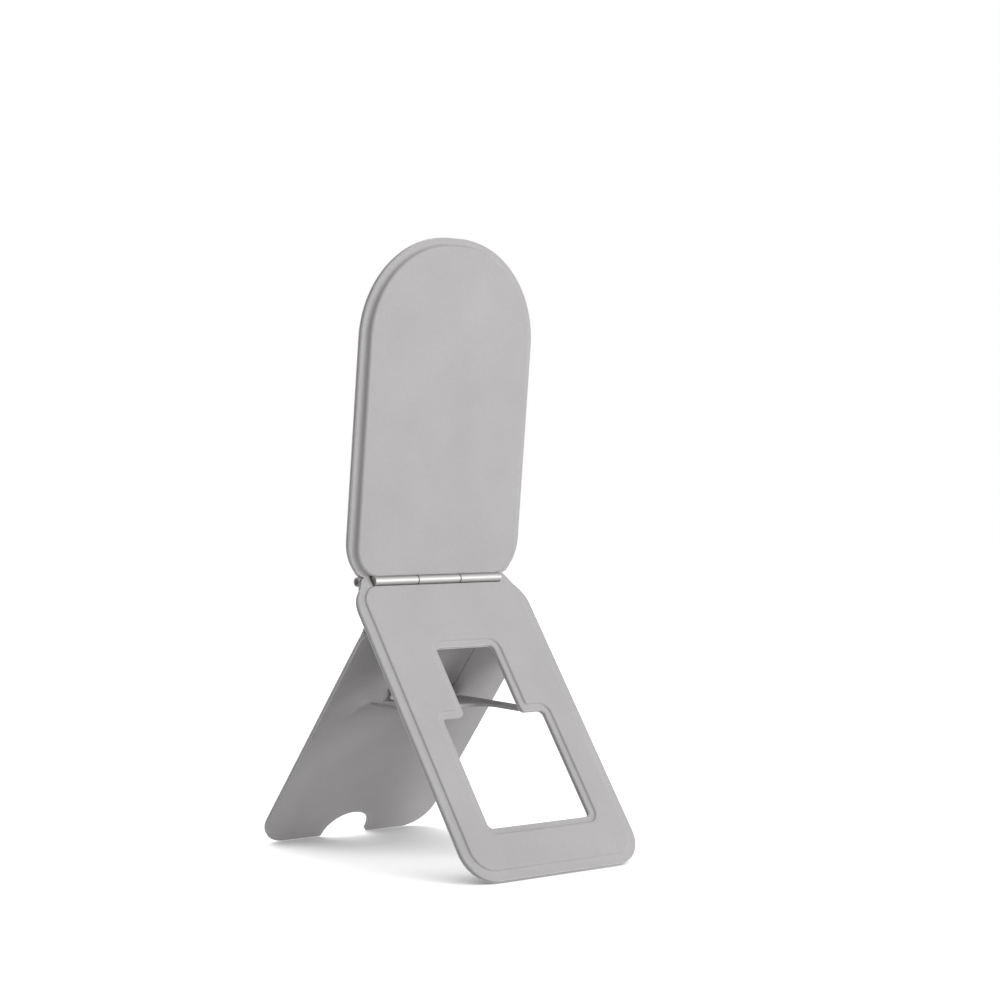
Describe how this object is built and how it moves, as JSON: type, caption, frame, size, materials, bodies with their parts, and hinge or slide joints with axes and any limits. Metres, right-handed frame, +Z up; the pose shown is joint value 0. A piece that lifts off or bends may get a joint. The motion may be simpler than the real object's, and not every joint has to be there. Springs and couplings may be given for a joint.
{
  "type": "magnetic phone stand",
  "caption": "Folding phone stand: a covered head with a ring of magnets on a barrel hinge, a front leg with a T-shaped window, and a rear leg held by a folding strut.",
  "frame": {"origin": "on the floor, midway between the outer edges of the feet and midway across the panels", "axes": "+Z up; +X along the hinge; +Y from the front leg towards the rear leg and the face of the head"},
  "size_m": [0.064, 0.1014, 0.1787],
  "materials": {
    "panel_skin": "pale warm grey, matt, finely grained",
    "stiffener": "glass fibre board",
    "carrier": "moulded, matt",
    "magnet": "nickel plated",
    "steel_plate": "rolled sheet",
    "hinge_metal": "satin"
  },
  "bodies": {
    "front_leg": {"front_leg_outer_skin": "panel_skin", "front_leg_inner_skin": "panel_skin", "front_leg_board": "stiffener", "leg_hinge_leaf": "hinge_metal", "catch_plates": "steel_plate", "fold_flap": "panel_skin", "hinge_skin": "panel_skin"},
    "head": {"head_back_skin": "panel_skin", "head_front_skin": "panel_skin", "magnet_carrier": "carrier", "magnet_ring": "magnet", "shield_ring": "steel_plate", "alignment_magnet": "magnet", "head_hinge_leaf": "hinge_metal", "hinge_pin": "hinge_metal"},
    "rear_leg": {"rear_leg_inner_skin": "panel_skin", "rear_leg_outer_skin": "panel_skin", "rear_leg_board": "stiffener", "strut_strap": "panel_skin"},
    "strut": {"strut_upper_skin": "panel_skin", "strut_lower_skin": "panel_skin", "strut_board": "stiffener", "strut_magnets": "magnet"}
  },
  "joints": [
    {"name": "head_tilt", "type": "hinge", "parent": "front_leg", "child": "head", "pos_m": [0, 0.00348, 0.07965], "axis": [1, 0, 0], "range_deg": [-40.8, 139.2], "deforming": ["hinge_skin"]},
    {"name": "rear_leg_fold", "type": "hinge", "parent": "front_leg", "child": "rear_leg", "pos_m": [0, -0.00364, 0.06535], "axis": [-1, 0, 0], "range_deg": [0, 73.9]},
    {"name": "strut_fold", "type": "hinge", "parent": "rear_leg", "child": "strut", "pos_m": [0, 0.01454, 0.0429], "axis": [1, 0, 0], "range_deg": [0, 130]}
  ],
  "couplings": [
    {"joint": "strut_fold", "follows": "rear_leg_fold", "ratio": 1.7144}
  ]
}
